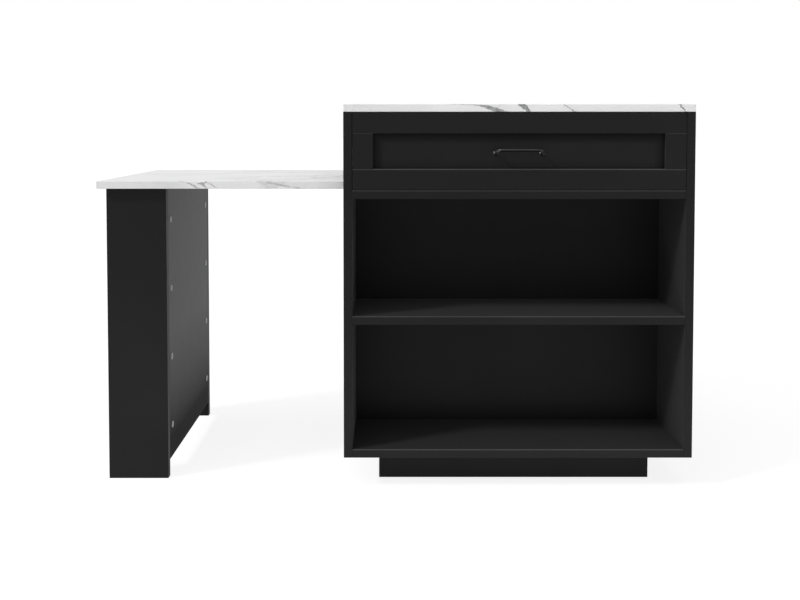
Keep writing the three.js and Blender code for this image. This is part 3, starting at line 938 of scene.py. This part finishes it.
def cam_model(kind):
    """A cam whose face looks along X from the origin and whose claw faces along Y."""
    depth = CAM_DEPTH[kind]
    face = depth + RIM_HEIGHT
    profile = [
        (0, CAM_RADIUS), (depth, CAM_RADIUS), (depth, RIM_RADIUS),
        (depth + 0.7 * RIM_HEIGHT, RIM_RADIUS), (face, RIM_RADIUS - 0.5 * MM),
        (face, RIM_RADIUS - 1.5 * MM), (depth + 0.7 * MM, RIM_RADIUS - 1.9 * MM),
    ]
    cam = turned_solid("cam_model", -AXIS_X * depth, AXIS_X, profile, 40)
    cut_cross(cam, -1.4, 3, 4.2, 0.8)
    bpy.ops.mesh.primitive_cylinder_add(
        vertices=3, radius=0.9 * MM, depth=1 * MM, location=ARROW_PLACE,
        rotation=(0, math.radians(90), 0),
    )
    combine(cam, bpy.context.object, "DIFFERENCE")
    claw = -AXIS_X * BOLT_DEPTH[kind]
    bore(cam, claw - AXIS_Y * CLAW_BACK, claw + AXIS_Y * CLAW_MOUTH, BOLT_HOLE)
    smooth(cam, 35)
    return cam


def face_of(cam, out):
    """The middle of the cam's hole at the board's face."""
    low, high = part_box(cam)
    centre = (low + high) / 2
    tip = max(low.dot(out), high.dot(out)) - RIM_HEIGHT
    return centre + out * (tip - centre.dot(out))


# %% Cams in their holes
leg_cam = cam_model("leg")
for i in range(1, 9):
    along = -AXIS_Y if i < 5 else AXIS_Y
    name = f"leg_cam_{i}"
    cam = place_copy(leg_cam, name + "_cast", face_of(name, AXIS_X), AXIS_X, along)
    hand_over(cam, zinc, "zinc_alloy", "cabinet", name)
table_cam = cam_model("table")
for i in (1, 2):
    name = f"table_cam_{i}"
    cam = place_copy(table_cam, name + "_cast", face_of(name, -AXIS_Z), -AXIS_Z, AXIS_X)
    hand_over(cam, zinc, "zinc_alloy", "cabinet", name)
print("cam faces:", len(leg_cam.data.polygons))
for model in (leg_cam, table_cam):
    bpy.data.objects.remove(model)

# %% [markdown]
# ## Bolts
# A bolt has a head for the cam to hook, a thin neck, a shank and a thread. A real thread is a
# helix, but it is hidden in the board, so rings stand for it and one profile makes the whole bolt.

# %% Turned bolts
def bolt_profile(node):
    """Rows of (distance, radius) of a bolt: head, neck, shank, and the thread at its far end."""
    low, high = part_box(node)
    length = max(high - low) / MM
    rows = [(0, 2.2), (0.4, 3), (2, 3), (2.2, 2), (7, 2), (8, 2.9), (length - 11, 2.9)]
    for turn in range(6):
        start = length - 10.6 + turn * 1.6
        rows += [(start, 2.3), (start + 0.6, 3), (start + 0.8, 3), (start + 1.4, 2.3)]
    rows += [(length, 1.6)]
    return [(distance * MM, radius * MM) for distance, radius in rows]


def turned_bolt(node, along):
    low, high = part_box(node)
    centre = (low + high) / 2
    start = centre + along * (min(low.dot(along), high.dot(along)) - centre.dot(along))
    bolt = turned_solid(node + "_turned", start, along, bolt_profile(node), 24)
    bpy.ops.object.shade_smooth_by_angle(angle=math.radians(35))
    return hand_over(bolt, steel, "runner_steel", "cabinet", node)


bolts = [turned_bolt(f"leg_bolt_{i}", -AXIS_Y if i < 5 else AXIS_Y) for i in range(1, 9)]
bolts += [turned_bolt(f"table_bolt_{i}", AXIS_X) for i in (1, 2)]
print("bolts:", len(bolts))

# %% [markdown]
# ## Screws
# Flat and pan heads hold the brackets, runners and drawer together. One screw of each kind is
# grown from its tip, its cross is cut in, and copies go wherever one is driven.

# %% Screw models
def screw_model(name, shank, rows):
    """A screw along X: its tip is at -shank, the board's face at 0, and `rows` shape its head."""
    body = [(-shank, 0.4), (-shank + 2, 1.5)]
    for turn in range(4):
        start = -shank + 2.4 + turn * 1.3
        body += [(start, 1.3), (start + 0.4, 1.8), (start + 0.8, 1.3)]
    body += [(-2.6, 1.6)]
    profile = [(distance * MM, radius * MM) for distance, radius in body + rows]
    screw = turned_solid(name, AXIS_X * profile[0][0], AXIS_X, profile, 20)
    top = rows[-1][0]
    cut_cross(screw, top - 1.3, top + 1, 1.7, 0.4)
    smooth(screw, 35)
    return screw


pan_screw = screw_model(
    "pan_screw", 9, [(0.02, 1.6), (0.04, 3.6), (0.5, 3.9), (1.2, 3.5), (1.7, 2.6), (1.9, 1.9)]
)
flat_screw = screw_model("flat_screw", 9, [(-1.9, 1.6), (-0.1, 3.0), (0.1, 3.0), (0.12, 2.8)])
print("screw faces:", len(pan_screw.data.polygons), len(flat_screw.data.polygons))


def drive(model, name, place, out, along, body):
    screw = place_copy(model, name, place, out, along)
    hand_over(screw, steel, "runner_steel", body)


# %% [markdown]
# ## Angle brackets
# Two brackets in the leg's open side hold the table down. Each is a plate folded at a right angle:
# a flat bar whose edge is extruded down, with a rounded fold, rounded corners and four holes.

# %% Brackets
BRACKET_WALL = 2.5 * MM
BRACKET_HOLE = 2.5 * MM
HOLE_SPACING = 22 * MM
CORNER_RADIUS = 5 * MM
FOLD_RADIUS = 1.8 * MM


def folded_bracket(node, number):
    low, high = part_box(node)
    bracket = add_block(node + "_folded", Vector((low.x, low.y, high.z - BRACKET_WALL)), high)
    edit(bracket, "FACE")
    bpy.ops.mesh.select_all(action="SELECT")
    fold = high.x - BRACKET_WALL
    bpy.ops.mesh.bisect(plane_co=(fold, 0, 0), plane_no=(1, 0, 0))
    shape = bmesh.from_edit_mesh(bracket.data)
    for face in shape.faces:
        middle = face.calc_center_median()
        face.select_set(face.normal.z < -0.9 and middle.x > fold)
    bmesh.update_edit_mesh(bracket.data)
    drop = low.z - (high.z - BRACKET_WALL)
    bpy.ops.mesh.extrude_region_move(TRANSFORM_OT_translate={"value": (0, 0, drop)})
    bpy.ops.mesh.select_mode(type="EDGE")

    middle_y = (low.y + high.y) / 2

    def is_corner(p):
        end = near(p.y, low.y) or near(p.y, high.y)
        flat_tip = near(p.x, low.x) and near(p.z, high.z - BRACKET_WALL / 2)
        drop_tip = near(p.z, low.z) and near(p.x, high.x - BRACKET_WALL / 2)
        return end and (flat_tip or drop_tip)

    def is_fold(p):
        return near(p.y, middle_y) and near(p.x, high.x) and near(p.z, high.z)

    select_edges(bracket, is_corner)
    bpy.ops.mesh.bevel(offset=CORNER_RADIUS, segments=5, affect="EDGES")
    select_edges(bracket, is_fold)
    bpy.ops.mesh.bevel(offset=FOLD_RADIUS, segments=4, affect="EDGES")
    close_edit()
    apply_modifier(bracket, "BEVEL", width=0.3 * MM, segments=2, limit_method="ANGLE")
    reach = (high.x - low.x + BRACKET_WALL) / 2
    holes = []
    for side in (-1, 1):
        y = middle_y + side * HOLE_SPACING / 2
        holes.append((Vector((high.x - reach, y, high.z - BRACKET_WALL)), -AXIS_Z))
        holes.append((Vector((fold, y, high.z - reach)), -AXIS_X))
    for place, out in holes:
        bore(bracket, place - out * 2 * BRACKET_WALL, place + out * 2 * BRACKET_WALL, BRACKET_HOLE)
    smooth(bracket, 35)
    hand_over(bracket, steel, "runner_steel", "cabinet", node)
    for i, (place, out) in enumerate(holes):
        drive(pan_screw, f"bracket_screw_{number}_{i + 1}", place, out, AXIS_Y, "cabinet")
    return bracket


brackets = [folded_bracket(f"leg_bracket_{number}", number) for number in (1, 2)]
print("brackets with four screws each:", [bracket.name for bracket in brackets])

# %% [markdown]
# ## Drawer box
# The box behind the drawer front is made of thinner boards. A groove near their lower edge holds
# the bottom, so the same block that makes the bottom also cuts the groove.

# %% Drawer box
BOX_EASE = 0.8 * MM
BOTTOM_EASE = 0.3 * MM

bottom_low, bottom_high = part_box("drawer_bottom")
for node in ("drawer_side_left", "drawer_side_right", "drawer_box_front", "drawer_box_back"):
    board = rounded_board(node, BOX_EASE)
    combine(board, add_block("groove", bottom_low, bottom_high), "DIFFERENCE")
    smooth(board)
    hand_over(board, drawer_paint, "drawer_paint", "drawer", node)
bottom = rounded_board("drawer_bottom", BOTTOM_EASE, 2)
smooth(bottom)
hand_over(bottom, drawer_paint, "drawer_paint", "drawer", "drawer_bottom")
print("drawer bottom:", [round(value / MM) for value in bottom.dimensions])

# %% [markdown]
# ## Screws of the drawer
# Two screws hold each corner of the box, six hold the front to it, and one goes into each foot of
# the pull. They are placed from the boards' own boxes, so they follow the frame.

# %% Screws of the drawer box
SCREW_FROM_EDGE = 15 * MM

front_low, front_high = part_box("drawer_box_front")
back_low, back_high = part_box("drawer_box_back")
ends_y = {"front": (front_low.y + front_high.y) / 2, "back": (back_low.y + back_high.y) / 2}
for side, out in (("left", -AXIS_X), ("right", AXIS_X)):
    low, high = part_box(f"drawer_side_{side}")
    face = low.x if side == "left" else high.x
    for end, y in ends_y.items():
        for level, z in (("low", low.z + SCREW_FROM_EDGE), ("high", high.z - SCREW_FROM_EDGE)):
            place = Vector((face, y, z))
            drive(pan_screw, f"box_screw_{side}_{end}_{level}", place, out, AXIS_Z, "drawer")
print("box corners:", 2 * len(ends_y), "screws each:", 2)

# %% Screws of the drawer front and the pull
# Each pair is a place in mm, sideways and up from the middle of the drawer's panel.
front_screws = [(x, z) for x in (-355, 355) for z in (-20, 20)] + [(-200, -56), (200, -56)]
inside = front_high.y
drawer_middle = sum(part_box("drawer_front_panel"), Vector()) / 2
for i, (x, z) in enumerate(front_screws):
    place = Vector((drawer_middle.x + x * MM, inside, drawer_middle.z + z * MM))
    drive(pan_screw, f"front_screw_{i + 1}", place, AXIS_Y, AXIS_Z, "drawer")
for side in (-1, 1):
    place = Vector((drawer_middle.x + side * PULL_CENTRES / 2, inside, foot.z))
    name = "pull_screw_" + ("left" if side < 0 else "right")
    drive(pan_screw, name, place, AXIS_Y, AXIS_Z, "drawer")
print("screws through the drawer front:", len(front_screws) + 2)

# %% [markdown]
# ## Telescopic runners
# Each runner is three steel channels, one inside the other, rolled from sheet. So each channel is
# drawn as a sheet: a strip is laid down, its long edges are extruded into flanges, both bends are
# rounded, and Solidify gives the sheet its thickness. Slots in the web take the mounting screws.

# %% Rolled channels
SHEET = 1.25 * MM
BEND = 2.4 * MM
SLOT_LENGTH = 12 * MM
SLOT_WIDTH = 5 * MM


def rolled_channel(node, opens, slots):
    """A channel that opens along X (1) or against it (-1), slotted at distances from its front."""
    low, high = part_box(node)
    centre = (low + high) / 2
    web = (low.x if opens > 0 else high.x) + opens * SHEET / 2
    half = (high.z - low.z - SHEET) / 2
    bpy.ops.mesh.primitive_plane_add(
        size=1, location=(web, centre.y, centre.z), rotation=(0, math.radians(90), 0)
    )
    channel = bpy.context.object
    channel.name = channel.data.name = node + "_rolled"
    channel.scale = (2 * half, high.y - low.y, 1)
    fix_place(channel)
    edit(channel)
    select_edges(channel, lambda p: near(abs(p.z - centre.z), half))
    reach = high.x - low.x - SHEET / 2
    bpy.ops.mesh.extrude_region_move(TRANSFORM_OT_translate={"value": (opens * reach, 0, 0)})
    select_edges(channel, lambda p: near(p.x, web) and near(abs(p.z - centre.z), half))
    bpy.ops.mesh.bevel(offset=BEND, segments=4, affect="EDGES")
    bpy.ops.mesh.select_all(action="SELECT")
    bpy.ops.mesh.normals_make_consistent(inside=False)
    close_edit()
    apply_modifier(channel, "SOLIDIFY", thickness=SHEET, offset=0, use_even_offset=True)
    for distance in slots:
        middle = Vector((web, low.y + distance, centre.z))
        size = Vector((3 * SHEET, SLOT_LENGTH / 2, SLOT_WIDTH / 2))
        punch = add_block("punch", middle - size, middle + size)
        edit(punch)
        select_edges(punch, lambda p: near(p.x, web))
        bpy.ops.mesh.bevel(offset=SLOT_WIDTH * 0.499, segments=6, affect="EDGES")
        close_edit()
        combine(channel, punch, "DIFFERENCE")
    edit(channel)
    seal(channel)
    smooth(channel, 35)
    return channel


def web_screw(node, opens, distance, name, body):
    low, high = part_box(node)
    web_face = (low.x if opens > 0 else high.x) + opens * SHEET
    place = Vector((web_face, low.y + distance, (low.z + high.z) / 2))
    drive(flat_screw, name, place, AXIS_X * opens, AXIS_Y, body)


# %% [markdown]
# ## Three channels to a side
# The outer channel is screwed to the cabinet and the inner one to the drawer, through their end
# slots. The middle one rides between them, on a body of its own.

# %% Left and right runners
screwed_slots = [25 * MM, 120 * MM, 240 * MM, 365 * MM]
middle_slots = [60 * MM, 340 * MM]
channels = []
for side, inwards in (("left", 1), ("right", -1)):
    for member, opens, body, slots in (
        ("cabinet", inwards, "cabinet", screwed_slots),
        ("middle", inwards, "runner_middles", middle_slots),
        ("drawer", -inwards, "drawer", screwed_slots),
    ):
        node = f"runner_{member}_{side}"
        channel = rolled_channel(node, opens, slots)
        channels.append(hand_over(channel, steel, "runner_steel", body, node))
        if member != "middle":
            for i, distance in enumerate(slots[::3]):
                web_screw(node, opens, distance, f"{node}_screw_{i + 1}", body)
print("channels:", [channel.name for channel in channels])
for model in (pan_screw, flat_screw):
    bpy.data.objects.remove(model)
